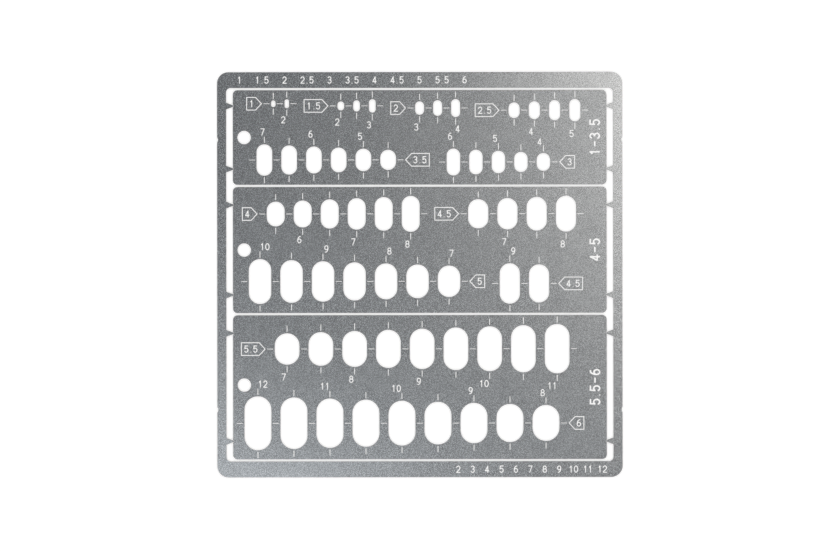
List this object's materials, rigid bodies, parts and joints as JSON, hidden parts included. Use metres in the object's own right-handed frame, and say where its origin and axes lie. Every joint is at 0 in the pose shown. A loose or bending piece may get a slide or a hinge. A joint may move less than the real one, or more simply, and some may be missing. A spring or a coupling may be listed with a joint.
{
  "type": "oval template",
  "caption": "Thin square steel sheet whose frame holds three snap-out template plates, each pierced by rows of graded ovals for scribing and drawing round-ended shapes.",
  "frame": {"origin": "middle of the sheet's underside", "axes": "+Z out of the marked face, +Y towards the top rail and the plate with the smallest ovals, +X towards the right as the numbers read"},
  "size_m": [0.09, 0.09, 0.0002],
  "materials": {
    "steel_sheet": "fine satin stainless sheet, its marks half-etched to a pale matt grey"
  },
  "bodies": {
    "frame": {"carrier_frame": "steel_sheet"},
    "small_plate": {"template_small": "steel_sheet"},
    "medium_plate": {"template_medium": "steel_sheet"},
    "large_plate": {"template_large": "steel_sheet"}
  },
  "joints": [
    {"name": "small_plate_lift", "type": "slide", "parent": "frame", "child": "small_plate", "axis": [0, 0, 1], "range_m": [0, 0.02]},
    {"name": "medium_plate_lift", "type": "slide", "parent": "frame", "child": "medium_plate", "axis": [0, 0, 1], "range_m": [0, 0.02]},
    {"name": "large_plate_lift", "type": "slide", "parent": "frame", "child": "large_plate", "axis": [0, 0, 1], "range_m": [0, 0.02]}
  ]
}
